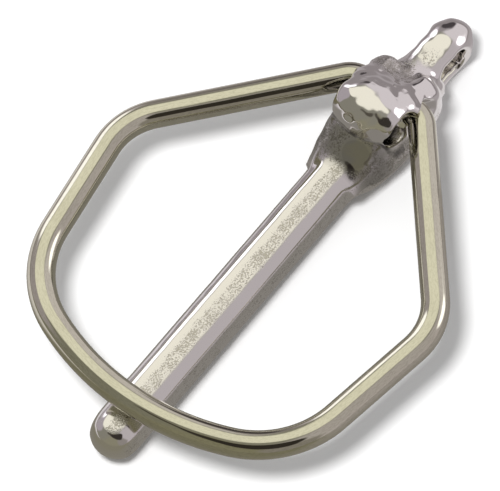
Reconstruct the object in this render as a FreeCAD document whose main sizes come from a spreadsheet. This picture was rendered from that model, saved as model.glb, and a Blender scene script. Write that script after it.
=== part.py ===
import FreeCAD, Part
import math
import os
import Sketcher

# Hitch pin lock: a one-piece cast pin (faceted shank, raised head, lifting eye) and a sprung
# round-wire ring that turns in the head's cross hole and snaps down over the tip of the shank.
# Frame: x = 0 and y = 0 on the ring's hinge line, +X towards the eye, z = 0 on the table.
# Every length is in millimetres.

os.makedirs("parts", exist_ok=True)
doc = FreeCAD.newDocument("hitch_pin_lock")
V = FreeCAD.Vector
ALONG_X = FreeCAD.Rotation(V(0, 1, 0), 90)      # turns a primitive's own Z onto +X
ALONG_Y = FreeCAD.Rotation(V(1, 0, 0), -90)     # turns a primitive's own Z onto +Y
ON_XZ = FreeCAD.Rotation(V(1, 0, 0), 90)        # sketch plane: u = X, v = Z, normal = -Y
ON_YZ = FreeCAD.Rotation(0.5, 0.5, 0.5, 0.5)    # sketch plane: u = Y, v = Z, normal = +X

DIMENSIONS = (
    ("shank_w", 7.4, "Shank width across the side flats"),
    ("shank_h", 8.1, "Shank height across the top and bottom flats"),
    ("chamfer_w", 1.9, "Shank corner chamfer, across"),
    ("chamfer_h", 1.45, "Shank corner chamfer, upwards"),
    ("tip_x", 73.5, "Hinge line to the tip of the nose"),
    ("nose", 5.4, "Length of the rounded nose"),
    ("nose_r", 4.65, "Radius of the nose where it leaves the facets"),
    ("shoulder_x", 13.2, "Hinge line to the start of the shoulder"),
    ("base_w", 14.2, "Widest part of the head, below the ring"),
    ("base_top", 8.0, "Top of the wide part of the head"),
    ("head_w", 11.6, "Width of the raised head across its side faces"),
    ("head_top", 17.6, "Crown of the raised head above the table"),
    ("eye_end", 21.0, "Hinge line to the end of the eye"),
    ("eye_w", 8.2, "Width of the eye"),
    ("eye_top", 8.7, "Top of the eye"),
    ("eye_x", 12.6, "Hinge line to the middle of the eye hole"),
    ("eye_z", 4.5, "Height of the eye hole's middle"),
    ("eye_high", 5.6, "Eye hole, upwards"),
    ("eye_slot", 1.8, "Extra length of the eye hole along the pin"),
    ("hinge_z", 10.65, "Height of the hinge line"),
    ("hole_d", 4.64, "Cross hole for the ring's ends"),
    ("mouth_d", 6.6, "Flared mouth of the cross hole"),
    ("spare_x", 5.3, "Hinge line to the second cross hole"),
    ("spare_z", 11.8, "Height of the second cross hole"),
    ("spare_d", 4.7, "Second cross hole"),
    ("wire_d", 4.5, "Ring wire"),
    ("peg_gap", 3.0, "Gap between the ring's two ends inside the head"),
    ("leg_y", 6.47, "Where the leg's line crosses the hinge line"),
    ("leg_deg", 40.0, "Angle of the legs to the pin"),
    ("leg_x", 28.44, "Hinge line to the front corner's vertex"),
    ("side_deg", 8.9, "Lean of the ring's sides"),
    ("bend_r", 3.5, "Bend where a leg turns into the head"),
    ("front_r", 11.3, "Front corner of the ring"),
    ("rear_r", 17.0, "Rear corner of the ring"),
    ("far_r", 43.0, "Curve of the ring's far side"),
    ("far_x", 66.3, "Hinge line to the middle of the far side"),
)
D = {alias: value for alias, value, _ in DIMENSIONS}
sheet = doc.addObject("Spreadsheet::Sheet", "Dimensions")
for row, (alias, value, words) in enumerate(DIMENSIONS, start=1):
    sheet.set(f"A{row}", words)
    sheet.set(f"B{row}", str(value))
    sheet.setAlias(f"B{row}", alias)
doc.recompute()


def bind(obj, **expressions):
    """Drive properties of obj from spreadsheet aliases; a bare alias may be part of a sum."""
    for prop, text in expressions.items():
        obj.setExpression(prop, sheet_text(text))
    return obj


def sheet_text(text):
    """Put the sheet's name in front of every alias in an expression."""
    words = text.replace("(", " ( ").replace(")", " ) ").split()
    return " ".join(f"Dimensions.{w}" if w in D else w for w in words)


def value_of(text):
    """Work out an expression of aliases as a number, for a sketch's first shape."""
    total, sign, term, op = 0.0, 1.0, None, None
    for word in text.split():
        if word in "+-" and term is None:
            sign = -sign if word == "-" else sign
        elif word in "+-":
            total, term = total + sign * term, None
            sign = -1.0 if word == "-" else 1.0
        elif word in "*/":
            op = word
        else:
            number = D[word] if word in D else float(word)
            term = number if term is None else term * number if op == "*" else term / number
    return total + sign * term


def outline(name, rotation, corners):
    """Closed sketch of straight sides whose corners are (u, v) expressions of the aliases."""
    sketch = doc.addObject("Sketcher::SketchObject", name)
    sketch.Placement = FreeCAD.Placement(V(0, 0, 0), rotation)
    points = [V(value_of(u), value_of(v), 0) for u, v in corners]
    for i, point in enumerate(points):
        sketch.addGeometry(Part.LineSegment(point, points[(i + 1) % len(points)]), False)
    for i in range(len(points)):
        sketch.addConstraint(Sketcher.Constraint("Coincident", i, 2, (i + 1) % len(points), 1))
    for i, (u, v) in enumerate(corners):
        for kind, text, number in (("DistanceX", u, points[i].x), ("DistanceY", v, points[i].y)):
            index = sketch.addConstraint(Sketcher.Constraint(kind, -1, 1, i, 1, number))
            if any(word in D for word in text.split()):
                sketch.setExpression(f"Constraints[{index}]", sheet_text(text))
    return sketch


def extrude(name, sketch, direction, length, symmetric=True):
    """Solid extrusion of a sketch by a length expression."""
    solid = doc.addObject("Part::Extrusion", name)
    solid.Base, solid.Dir, solid.DirMode = sketch, direction, "Custom"
    solid.Solid, solid.Symmetric = True, symmetric
    return bind(solid, LengthFwd=length)


def boolean(kind, name, *shapes):
    """Part boolean of two or more objects."""
    obj = doc.addObject(f"Part::{kind}", name)
    if kind == "Cut":
        obj.Base, obj.Tool = shapes
    else:
        obj.Shapes = list(shapes)
    return obj


def fillet(name, base, radius, wanted):
    """Round every edge of base that passes the test, given its box."""
    doc.recompute()
    obj = doc.addObject("Part::Fillet", name)
    obj.Base = base
    obj.Edges = [(number, radius, radius) for number, edge in enumerate(base.Shape.Edges, start=1)
                 if wanted(edge.BoundBox)]
    return obj


def cylinder_y(name, x, z, diameter, length):
    """Cylinder lying across the pin, centred on y = 0."""
    obj = doc.addObject("Part::Cylinder", name)
    obj.Placement = FreeCAD.Placement(V(0, -20, 0), ALONG_Y)
    bind(obj, Radius=f"{diameter} / 2")
    obj.Height = length
    for axis, text in (("x", x), ("z", z)):
        obj.setExpression(f".Placement.Base.{axis}", sheet_text(text))
    return obj


# Pin body: shank with its bullet nose
shank_sketch = outline("shank_section", ON_YZ, (
    ("shank_w / 2", "chamfer_h"), ("shank_w / 2", "shank_h - chamfer_h"),
    ("shank_w / 2 - chamfer_w", "shank_h"), ("chamfer_w - shank_w / 2", "shank_h"),
    ("0 - shank_w / 2", "shank_h - chamfer_h"), ("0 - shank_w / 2", "chamfer_h"),
    ("chamfer_w - shank_w / 2", "0"), ("shank_w / 2 - chamfer_w", "0")))
shank_bar = extrude("shank_bar", shank_sketch, V(-1, 0, 0), "tip_x", symmetric=False)
nose_tube = doc.addObject("Part::Cylinder", "nose_tube")
nose_tube.Placement = FreeCAD.Placement(V(0, 0, 0), ALONG_X)
bind(nose_tube, Radius="nose_r", Height="tip_x - nose")
nose_tube.setExpression(".Placement.Base.x", sheet_text("nose - tip_x"))
nose_tube.setExpression(".Placement.Base.z", sheet_text("shank_h / 2"))
nose_ball = doc.addObject("Part::Ellipsoid", "nose_ball")
nose_ball.Placement = FreeCAD.Placement(V(0, 0, 0), ALONG_X)
bind(nose_ball, Radius1="nose", Radius2="nose_r", Radius3="nose_r")
nose_ball.setExpression(".Placement.Base.x", sheet_text("nose - tip_x"))
nose_ball.setExpression(".Placement.Base.z", sheet_text("shank_h / 2"))
bullet = boolean("MultiFuse", "bullet", nose_tube, nose_ball)
shank = boolean("MultiCommon", "shank", shank_bar, bullet)

# Pin body: shoulder and wide base of the head, drawn in plan
base_sketch = outline("base_plan", FreeCAD.Rotation(), (
    ("0 - shoulder_x", "shank_w / 2"), ("-6.0", "base_w / 2"), ("0.8", "base_w / 2"),
    ("7.0", "eye_w / 2"), ("9.0", "eye_w / 2"), ("9.0", "0 - eye_w / 2"),
    ("7.0", "0 - eye_w / 2"), ("0.8", "0 - base_w / 2"), ("-6.0", "0 - base_w / 2"),
    ("0 - shoulder_x", "0 - shank_w / 2")))
base_block = extrude("base_block", base_sketch, V(0, 0, 1), "base_top", symmetric=False)
base = fillet("base", base_block, 1.3, lambda b: b.YLength > 0.5 and b.XMax < 8.9 and b.XLength > 1
              or b.XLength > 1 and abs(b.YMax) > 3.6 and b.XMax < 8.9)

# Pin body: shoulder that climbs from the shank to the raised head
shoulder_sketch = outline("shoulder_profile", ON_XZ, (
    ("0 - shoulder_x", "shank_h - 1.5"), ("0 - shoulder_x", "shank_h"), ("-11.6", "9.8"),
    ("-9.4", "12.6"), ("-7.0", "13.3"), ("-7.0", "shank_h - 1.5")))
shoulder_block = extrude("shoulder_block", shoulder_sketch, V(0, 1, 0), "shank_w + 3")
shoulder = fillet("shoulder", shoulder_block, 1.5, lambda b: b.YLength < 0.01 and b.ZMax > 9
                  and b.XMax < -6.9 and b.XLength > 0.5)

# Pin body: raised head, side profile met by plan profile
side_sketch = outline("head_profile", ON_XZ, (
    ("-8.6", "base_top - 1.5"), ("-9.3", "13.4"), ("-7.6", "head_top - 1.2"),
    ("-4.6", "head_top"), ("-1.2", "head_top - 1.0"), ("2.6", "13.0"), ("6.8", "11.2"),
    ("8.2", "8.4"), ("9.6", "eye_top - 0.3"), ("9.6", "base_top - 1.5")))
side_block = extrude("side_block", side_sketch, V(0, 1, 0), "base_w")
side_soft = fillet("side_soft", side_block, 1.5, lambda b: b.YLength > 10 and 9.1 < b.ZMin
                   and b.XMax < 9)
plan_sketch = outline("head_plan", FreeCAD.Rotation(), (
    ("-9.6", "head_w / 2 - 2.0"), ("-6.8", "head_w / 2"), ("4.8", "head_w / 2"),
    ("7.6", "eye_w / 2 - 0.3"), ("9.6", "eye_w / 2 - 0.3"), ("9.6", "0.3 - eye_w / 2"),
    ("7.6", "0.3 - eye_w / 2"), ("4.8", "0 - head_w / 2"), ("-6.8", "0 - head_w / 2"),
    ("-9.6", "2.0 - head_w / 2")))
plan_block = extrude("plan_block", plan_sketch, V(0, 0, 1), "head_top + 2", symmetric=False)
across_sketch = outline("head_across", ON_YZ, (
    ("head_w / 2", "base_top - 2"), ("head_w / 2", "head_top - 2.4"),
    ("head_w / 2 - 0.6", "head_top - 0.8"), ("head_w / 2 - 1.8", "head_top"),
    ("1.8 - head_w / 2", "head_top"), ("0.6 - head_w / 2", "head_top - 0.8"),
    ("0 - head_w / 2", "head_top - 2.4"), ("0 - head_w / 2", "base_top - 2")))
across_block = extrude("across_block", across_sketch, V(1, 0, 0), "eye_end")
dome = boolean("MultiCommon", "dome", side_soft, plan_block, across_block)

# Pin body: lifting eye
eye_sketch = outline("eye_profile", ON_XZ, (
    ("6.0", "0.5"), ("6.0", "eye_top - 0.1"), ("eye_end - 3.4", "eye_top - 0.1"),
    ("eye_end", "eye_top - 2.6"), ("eye_end", "2.4"), ("eye_end - 2.6", "0.2")))
eye_side = extrude("eye_side", eye_sketch, V(0, 1, 0), "eye_w")
eye_plan = outline("eye_plan", FreeCAD.Rotation(), (
    ("6.0", "eye_w / 2"), ("eye_end - 3.6", "eye_w / 2"), ("eye_end", "eye_w / 2 - 3.0"),
    ("eye_end", "3.0 - eye_w / 2"), ("eye_end - 3.6", "0 - eye_w / 2"), ("6.0", "0 - eye_w / 2")))
eye_top_block = extrude("eye_top_block", eye_plan, V(0, 0, 1), "eye_top + 1", symmetric=False)
eye_block = boolean("MultiCommon", "eye_block", eye_side, eye_top_block)
eye = fillet("eye", eye_block, 1.6, lambda b: b.XMax > 6.01)

# Pin body: cross holes, the eye hole and the valley between the ears, cut from the joined blank
blank = boolean("MultiFuse", "blank", shank, base, shoulder, dome, eye)
hinge_hole = cylinder_y("hinge_hole", "0", "hinge_z", "hole_d", 40)
spare_hole = cylinder_y("spare_hole", "0 - spare_x", "spare_z", "spare_d", 40)
mouths = []
for name, turn, start in (("mouth_left", ALONG_Y, 3.9), ("mouth_right", ON_XZ, -3.9)):
    mouth = doc.addObject("Part::Cone", name)
    mouth.Placement = FreeCAD.Placement(V(0, start, D["hinge_z"]), turn)
    bind(mouth, Radius1="hole_d / 2", Radius2="mouth_d / 2")
    mouth.Height = 2.0
    mouth.setExpression(".Placement.Base.z", sheet_text("hinge_z"))
    mouths.append(mouth)
eye_front = cylinder_y("eye_front", "eye_x - eye_slot / 2", "eye_z", "eye_high", 40)
eye_back = cylinder_y("eye_back", "eye_x + eye_slot / 2", "eye_z", "eye_high", 40)
valley = doc.addObject("Part::Cylinder", "valley")
valley.Radius, valley.Height = 5.0, 14.6
valley.Placement = FreeCAD.Placement(V(-0.15, 0.3, 21.9), FreeCAD.Rotation(V(0, 1, 0), 132))
cutters = boolean("MultiFuse", "cutters", hinge_hole, spare_hole, *mouths, eye_front, eye_back, valley)
pin_body = boolean("Cut", "pin_body", blank, cutters)
pin_body.Label = "pin_body"

# Ring: one wire, two pegs on the hinge line, two legs, four corners and a bowed far side
def direction(degrees):
    """Unit vector towards the tip, leaning outwards by this angle."""
    return V(-math.cos(math.radians(degrees)), math.sin(math.radians(degrees)), 0)


def tangent_arc(corner, before, after, radius):
    """Arc that rounds the corner between two directions of travel, with its two ends."""
    turn = before.getAngle(after)
    reach = radius * math.tan(turn / 2)
    start, end = corner - before * reach, corner + after * reach
    middle = corner + (after - before).normalize() * (radius / math.cos(turn / 2) - radius)
    return start, middle, end


leg, side = direction(D["leg_deg"]), direction(-D["side_deg"])
bend_corner = V(0, D["leg_y"], 0)
front_corner = V(-D["leg_x"], D["leg_y"] + D["leg_x"] * math.tan(math.radians(D["leg_deg"])), 0)
bend = tangent_arc(bend_corner, V(0, 1, 0), leg, D["bend_r"])
front = tangent_arc(front_corner, leg, side, D["front_r"])
inward = V(-side.y, side.x, 0)
far_centre = V(D["far_r"] - D["far_x"], 0, 0)
rear_line = front_corner + inward * D["rear_r"] - far_centre
reach = -rear_line.dot(side) + math.sqrt(
    rear_line.dot(side) ** 2 - rear_line.dot(rear_line) + (D["far_r"] - D["rear_r"]) ** 2)
rear_centre = far_centre + rear_line + side * reach
rear_start = rear_centre - inward * D["rear_r"]
spoke = (rear_centre - far_centre).normalize()
rear_end = far_centre + spoke * D["far_r"]
rear_middle = rear_centre + (spoke - inward).normalize() * D["rear_r"]

ring = doc.addObject("PartDesign::Body", "ring")
planes = {f.Role: f for f in ring.Origin.OriginFeatures}
path = ring.newObject("Sketcher::SketchObject", "ring_path")
path.AttachmentSupport, path.MapMode = [(planes["XY_Plane"], "")], "FlatFace"
half = [Part.LineSegment(V(0, D["peg_gap"] / 2, 0), bend[0]), Part.Arc(*bend),
        Part.LineSegment(bend[2], front[0]), Part.Arc(*front),
        Part.LineSegment(front[2], rear_start), Part.Arc(rear_start, rear_middle, rear_end)]


def flipped(point):
    """The same point on the ring's other side."""
    return V(point.x, -point.y, 0)


other = [Part.Arc(flipped(rear_end), flipped(rear_middle), flipped(rear_start)),
         Part.LineSegment(flipped(rear_start), flipped(front[2])),
         Part.Arc(*(flipped(p) for p in reversed(front))),
         Part.LineSegment(flipped(front[0]), flipped(bend[2])),
         Part.Arc(*(flipped(p) for p in reversed(bend))),
         Part.LineSegment(flipped(bend[0]), V(0, -D["peg_gap"] / 2, 0))]
for piece in half + [Part.Arc(rear_end, V(-D["far_x"], 0, 0), flipped(rear_end))] + other:
    path.addGeometry(piece, False)
section = ring.newObject("Sketcher::SketchObject", "wire_section")
section.AttachmentSupport, section.MapMode = [(planes["XZ_Plane"], "")], "FlatFace"
section.AttachmentOffset = FreeCAD.Placement(V(0, 0, -D["peg_gap"] / 2), FreeCAD.Rotation())
section.addGeometry(Part.Circle(V(0, 0, 0), V(0, 0, 1), D["wire_d"] / 2), False)
section.addConstraint(Sketcher.Constraint("Coincident", 0, 3, -1, 1))
size = section.addConstraint(Sketcher.Constraint("Radius", 0, D["wire_d"] / 2))
section.setExpression(f"Constraints[{size}]", sheet_text("wire_d / 2"))
section.setExpression(".AttachmentOffset.Base.z", sheet_text("0 - peg_gap / 2"))
sweep = ring.newObject("PartDesign::AdditivePipe", "ring_wire")
sweep.Profile, sweep.Spine = section, path
ring.Placement = FreeCAD.Placement(V(0, 0, D["hinge_z"]), FreeCAD.Rotation())
ring.setExpression(".Placement.Base.z", sheet_text("hinge_z"))
ring.Label = "ring"

doc.recompute()
for obj in doc.Objects:
    if "Invalid" in obj.State or "Error" in obj.State:
        raise RuntimeError(f"{obj.Name}: {obj.State}")
for node in (pin_body, ring):
    if node.Shape.isNull() or not node.Shape.isValid():
        raise RuntimeError(f"{node.Label} has no valid shape")
    node.Shape.exportStep(f"parts/{node.Label}.step")
    box = node.Shape.BoundBox
    print(f"{node.Label}: {len(node.Shape.Solids)} solid, {node.Shape.Volume:.0f} mm3, "
          f"x {box.XMin:.2f}..{box.XMax:.2f}, y {box.YMin:.2f}..{box.YMax:.2f}, "
          f"z {box.ZMin:.2f}..{box.ZMax:.2f}")
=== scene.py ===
"""Looks of a hitch pin lock: a one-piece cast and polished pin, and the sprung wire ring that
turns in its head. Lengths inside the classes are in millimetres and become metres in the meshes.
"""

import logging
import math
from dataclasses import dataclass, field
from enum import Enum
from typing import Callable, Iterable

import bpy
import numpy as np
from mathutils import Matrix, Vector

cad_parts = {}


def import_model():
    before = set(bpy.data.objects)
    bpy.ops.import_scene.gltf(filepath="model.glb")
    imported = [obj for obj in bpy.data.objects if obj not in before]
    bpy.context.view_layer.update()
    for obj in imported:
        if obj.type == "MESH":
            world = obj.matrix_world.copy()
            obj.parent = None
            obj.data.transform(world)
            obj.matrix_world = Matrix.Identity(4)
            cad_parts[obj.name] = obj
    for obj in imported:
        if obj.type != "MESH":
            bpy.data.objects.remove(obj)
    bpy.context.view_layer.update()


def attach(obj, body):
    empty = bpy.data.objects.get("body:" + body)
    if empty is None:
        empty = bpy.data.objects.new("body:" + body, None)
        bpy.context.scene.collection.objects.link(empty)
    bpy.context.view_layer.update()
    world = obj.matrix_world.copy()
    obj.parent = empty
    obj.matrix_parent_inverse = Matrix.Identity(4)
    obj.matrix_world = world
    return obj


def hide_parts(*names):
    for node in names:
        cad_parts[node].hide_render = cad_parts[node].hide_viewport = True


LOG = logging.getLogger("hitch_pin_lock")
MM = 0.001
Point = tuple[float, float]
Place = tuple[float, float, float]
Colour = tuple[float, float, float]


class Body(Enum):
    """The bodies that the pieces ride on."""

    PIN = "pin"
    RING = "ring"


class Slot(Enum):
    """The record's material slots."""

    CAST = "cast_steel"
    WIRE = "spring_wire"


# ---------------------------------------------------------------- shape tools


def blend_max(a: np.ndarray, b: np.ndarray, soft: float) -> np.ndarray:
    """Intersection of two fields with a rounded edge.

    Args:
        a: First field, negative inside, in mm.
        b: Second field.
        soft: How far apart the fields may be and still blend, in mm.

    Returns:
        The blended field.
    """
    overlap = np.maximum(soft - np.abs(a - b), 0.0) / soft
    return np.maximum(a, b) + overlap * overlap * soft / 4


def blend_min(a: np.ndarray, b: np.ndarray, soft: float) -> np.ndarray:
    """Union of two fields with a filleted joint; arguments as for blend_max."""
    return -blend_max(-a, -b, soft)


@dataclass
class SmoothLine:
    """Height of a smooth line over one axis, drawn through a few given corners."""

    corners: Iterable[Point]
    rounds: int = 5

    def __post_init__(self) -> None:
        """Cut the corners again and again until the line runs smoothly, and note its slope."""
        line = np.array(list(self.corners), float)
        for _ in range(self.rounds):
            cut = np.stack([0.75 * line[:-1] + 0.25 * line[1:], 0.25 * line[:-1] + 0.75 * line[1:]], 1)
            line = np.concatenate([line[:1], cut.reshape(-1, 2), line[-1:]])
        self.at, self.height = line.T
        self.slope = np.gradient(self.height, self.at)

    def above(self, along: np.ndarray, height: np.ndarray) -> np.ndarray:
        """How far each place stands above the line, square to it.

        Args:
            along: Places on the line's axis.
            height: Heights there.

        Returns:
            The distance in mm, negative below the line.
        """
        tilt = np.sqrt(1 + np.interp(along, self.at, self.slope) ** 2)
        return (height - np.interp(along, self.at, self.height)) / tilt


@dataclass(frozen=True)
class Ripple:
    """Low waves that hand polishing leaves in a casting."""

    height: float = 0.045
    longest: float = 7.0
    waves: int = 14
    seed: int = 11
    shortest_share: float = 0.45

    def __call__(self, x: np.ndarray, y: np.ndarray, z: np.ndarray) -> np.ndarray:
        """Add up the waves.

        Args:
            x, y, z: Places in mm.

        Returns:
            Their height at each place, in mm.
        """
        draw = np.random.default_rng(self.seed)
        total = 0.0
        for _ in range(self.waves):
            heading = draw.normal(size=3)
            heading /= np.linalg.norm(heading)
            number = 2 * math.pi / (self.longest * draw.uniform(self.shortest_share, 1.0))
            phase = draw.uniform(0, 2 * math.pi)
            total = total + np.sin(number * (heading[0] * x + heading[1] * y + heading[2] * z) + phase)
        return total * self.height / math.sqrt(self.waves)


@dataclass
class NetMesher:
    """Turns a field into a closed quad mesh: one point in every grid cell that the surface crosses."""

    axes: tuple[np.ndarray, np.ndarray, np.ndarray]
    shape: Callable[[np.ndarray, np.ndarray, np.ndarray], np.ndarray]
    relax_rounds: int = 2
    relax_share: float = 0.4
    probe: float = 0.01
    skip: int = 4
    band: float = 1.6

    def _cells(self, values: np.ndarray) -> tuple[np.ndarray, np.ndarray]:
        """Find where the surface crosses the edges of every cell.

        Args:
            values: The field on the grid.

        Returns:
            The sum of the crossings' places and their number, for each cell.
        """
        counts = tuple(n - 1 for n in values.shape)
        total = np.zeros((*counts, 3))
        number = np.zeros(counts)
        for axis in range(3):
            low = values[tuple(slice(0, -1) if a == axis else slice(None) for a in range(3))]
            high = values[tuple(slice(1, None) if a == axis else slice(None) for a in range(3))]
            crossed = (low < 0) != (high < 0)
            part = np.where(crossed, low / np.where(crossed, low - high, 1.0), 0.0)
            place = np.empty((*crossed.shape, 3))
            for a in range(3):
                ticks = self.axes[a][: crossed.shape[a]]
                steps = np.diff(self.axes[a])
                spread = [1, 1, 1]
                spread[a] = -1
                place[..., a] = ticks.reshape(spread)
                if a == axis:
                    place[..., a] += part * steps.reshape(spread)
            place *= crossed[..., None]
            others = [a for a in range(3) if a != axis]
            for first in (0, 1):
                for second in (0, 1):
                    cut = [slice(None)] * 3
                    cut[others[0]] = slice(first, counts[others[0]] + first)
                    cut[others[1]] = slice(second, counts[others[1]] + second)
                    total += place[tuple(cut)]
                    number += crossed[tuple(cut)]
        return total, number

    def _quads(self, values: np.ndarray, index: np.ndarray) -> np.ndarray:
        """Put one outward-facing quad round every grid edge that the surface crosses.

        Args:
            values: The field on the grid.
            index: The number of each cell's point.

        Returns:
            Four point numbers for each quad.
        """
        quads = []
        for axis in range(3):
            b, c = (axis + 1) % 3, (axis + 2) % 3
            low = np.moveaxis(values, (axis, b, c), (0, 1, 2))[:-1, 1:-1, 1:-1] < 0
            high = np.moveaxis(values, (axis, b, c), (0, 1, 2))[1:, 1:-1, 1:-1] < 0
            cell = np.moveaxis(index, (axis, b, c), (0, 1, 2))
            i, j, k = np.nonzero(low != high)
            loop = [cell[i, j, k], cell[i, j + 1, k], cell[i, j + 1, k + 1], cell[i, j, k + 1]]
            faces = np.stack(loop, 1)
            turned = ~low[i, j, k]
            faces[turned] = faces[turned][:, ::-1]
            quads.append(faces)
        return np.concatenate(quads)

    def _values(self) -> np.ndarray:
        """Work out the field exactly near the surface, and elsewhere only its sign.

        Returns:
            The field on the grid.
        """
        coarse = [np.append(ticks[:: self.skip], ticks[-1]) for ticks in self.axes]
        rough = self.shape(*np.meshgrid(*coarse, indexing="ij", sparse=True))
        nearest = [np.minimum((np.arange(len(t)) + self.skip // 2) // self.skip, len(c) - 1)
                   for t, c in zip(self.axes, coarse)]
        values = rough[np.ix_(*nearest)]
        near = np.abs(values) < self.band
        places = np.nonzero(near)
        values[near] = self.shape(*(ticks[at] for ticks, at in zip(self.axes, places)))
        return values

    def slope(self, points: np.ndarray) -> np.ndarray:
        """Work out the field's gradient.

        Args:
            points: Places in mm.

        Returns:
            The gradient at each point.
        """
        steps = np.eye(3) * self.probe
        sides = [self.shape(*(points + s).T) - self.shape(*(points - s).T) for s in steps]
        return np.stack(sides, 1) / (2 * self.probe)

    def _settle(self, points: np.ndarray, reach: float) -> np.ndarray:
        """Move each point onto the surface along the gradient.

        Args:
            points: Places near the surface, in mm.
            reach: The furthest that a point may move.

        Returns:
            The moved points.
        """
        here = self.shape(*points.T)
        ahead = [self.shape(*(points + s).T) for s in np.eye(3) * self.probe]
        slope = (np.stack(ahead, 1) - here[:, None]) / self.probe
        step = slope * (here / np.maximum((slope ** 2).sum(1), 1e-6))[:, None]
        length = np.linalg.norm(step, axis=1, keepdims=True)
        return points - step * np.minimum(1.0, reach / np.maximum(length, 1e-9))

    def _relax(self, points: np.ndarray, quads: np.ndarray) -> np.ndarray:
        """Draw every point towards the middle of its neighbours, which evens out the quads.

        Args:
            points: The mesh's points.
            quads: Four point numbers for each quad.

        Returns:
            The moved points.
        """
        centre, degree = np.zeros_like(points), np.zeros(len(points))
        for a, b in ((0, 1), (1, 2), (2, 3), (3, 0)):
            for here, there in ((quads[:, a], quads[:, b]), (quads[:, b], quads[:, a])):
                degree += np.bincount(here, minlength=len(points))
                for axis in range(3):
                    centre[:, axis] += np.bincount(here, points[there, axis], len(points))
        return points + self.relax_share * (centre / degree[:, None] - points)

    def mesh(self) -> tuple[np.ndarray, np.ndarray, np.ndarray]:
        """Work out the surface.

        Returns:
            The points in mm, the quads, and the unit normals at the points.
        """
        values = self._values()
        total, number = self._cells(values)
        used = number > 0
        index = np.full(number.shape, -1)
        index[used] = np.arange(used.sum())
        quads = self._quads(values, index)
        reach = 0.5 * float(np.diff(self.axes[1]).min())
        points = self._settle(total[used] / number[used][:, None], reach)
        for _ in range(self.relax_rounds):
            points = self._settle(self._relax(points, quads), reach)
        points = self._settle(points, reach)
        slope = self.slope(points)
        return points, quads, slope / np.linalg.norm(slope, axis=1, keepdims=True)


def new_object(name: str, data: bpy.types.ID) -> bpy.types.Object:
    """Put a mesh, curve, light or camera into the scene.

    Args:
        name: The object's name.
        data: What the object holds.

    Returns:
        The new object.
    """
    made = bpy.data.objects.new(name, data)
    bpy.context.scene.collection.objects.link(made)
    return made


# ---------------------------------------------------------------- node tools


class Graph:
    """Short ways to add and join nodes in one tree."""

    def __init__(self, tree: bpy.types.NodeTree) -> None:
        """Work on this tree."""
        self.tree = tree

    def node(self, kind: str, inputs: dict | None = None, **settings: object) -> bpy.types.Node:
        """Add a node.

        Args:
            kind: The node's type name.
            inputs: Values or sockets for its inputs, by name or number.
            settings: Properties of the node itself.

        Returns:
            The new node.
        """
        made = self.tree.nodes.new(kind)
        for name, value in settings.items():
            setattr(made, name, value)
        for key, value in (inputs or {}).items():
            self.put(made.inputs[key], value)
        return made

    def put(self, socket: bpy.types.NodeSocket, value: object) -> None:
        """Join a socket to an input, or set the input's own value.

        Args:
            socket: The input.
            value: A socket, a plain value, or None to leave the input alone.
        """
        if isinstance(value, bpy.types.NodeSocket):
            self.tree.links.new(value, socket)
        elif value is not None:
            socket.default_value = value

    def math(self, operation: str, *values: object, clamp: bool = False) -> bpy.types.NodeSocket:
        """Result of one Math node."""
        inputs = dict(enumerate(values))
        return self.node("ShaderNodeMath", inputs, operation=operation, use_clamp=clamp).outputs[0]

    def vector(self, operation: str, *values: object) -> bpy.types.NodeSocket:
        """Vector result of one Vector Math node."""
        return self.node("ShaderNodeVectorMath", dict(enumerate(values)), operation=operation).outputs[0]

    def measure(self, operation: str, *values: object) -> bpy.types.NodeSocket:
        """Number that one Vector Math node gives, such as a length."""
        made = self.node("ShaderNodeVectorMath", dict(enumerate(values)), operation=operation)
        return made.outputs["Value"]

    def remap(self, value: object, low: float, high: float) -> bpy.types.NodeSocket:
        """Smooth step from 0 at low to 1 at high."""
        inputs = {0: value, 1: low, 2: high, 3: 0.0, 4: 1.0}
        return self.node("ShaderNodeMapRange", inputs, interpolation_type="SMOOTHSTEP").outputs[0]

    def mix(self, factor: object, a: object, b: object) -> bpy.types.NodeSocket:
        """Blend two colours.

        Args:
            factor: Share of the second colour.
            a: First colour.
            b: Second colour.

        Returns:
            The blended colour.
        """
        made = self.node("ShaderNodeMix", data_type="RGBA")
        for number, value in ((0, factor), (6, a), (7, b)):
            self.put(made.inputs[number], value)
        return made.outputs[2]

    def noise(self, place: object, scale: object, detail: float = 2.0,
              rough: float = 0.5) -> bpy.types.NodeSocket:
        """Noise texture's value."""
        inputs = {"Vector": place, "Scale": scale, "Detail": detail, "Roughness": rough}
        return self.node("ShaderNodeTexNoise", inputs).outputs[0]

    def attribute(self, name: str, output: str = "Fac") -> bpy.types.NodeSocket:
        """Value of one of the mesh's own attributes."""
        return self.node("ShaderNodeAttribute", attribute_name=name).outputs[output]

    def bump(self, height: object, depth: float) -> bpy.types.NodeSocket:
        """Normal of a surface raised by a height."""
        return self.node("ShaderNodeBump", {"Height": height, "Distance": depth, "Strength": 1.0}).outputs[0]


def empty_graph(owner: bpy.types.ID) -> Graph:
    """Clear the node tree of a material or world.

    Args:
        owner: The material or world.

    Returns:
        Its graph, with nothing in it yet.
    """
    owner.use_nodes = True
    owner.node_tree.nodes.clear()
    return Graph(owner.node_tree)


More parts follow.
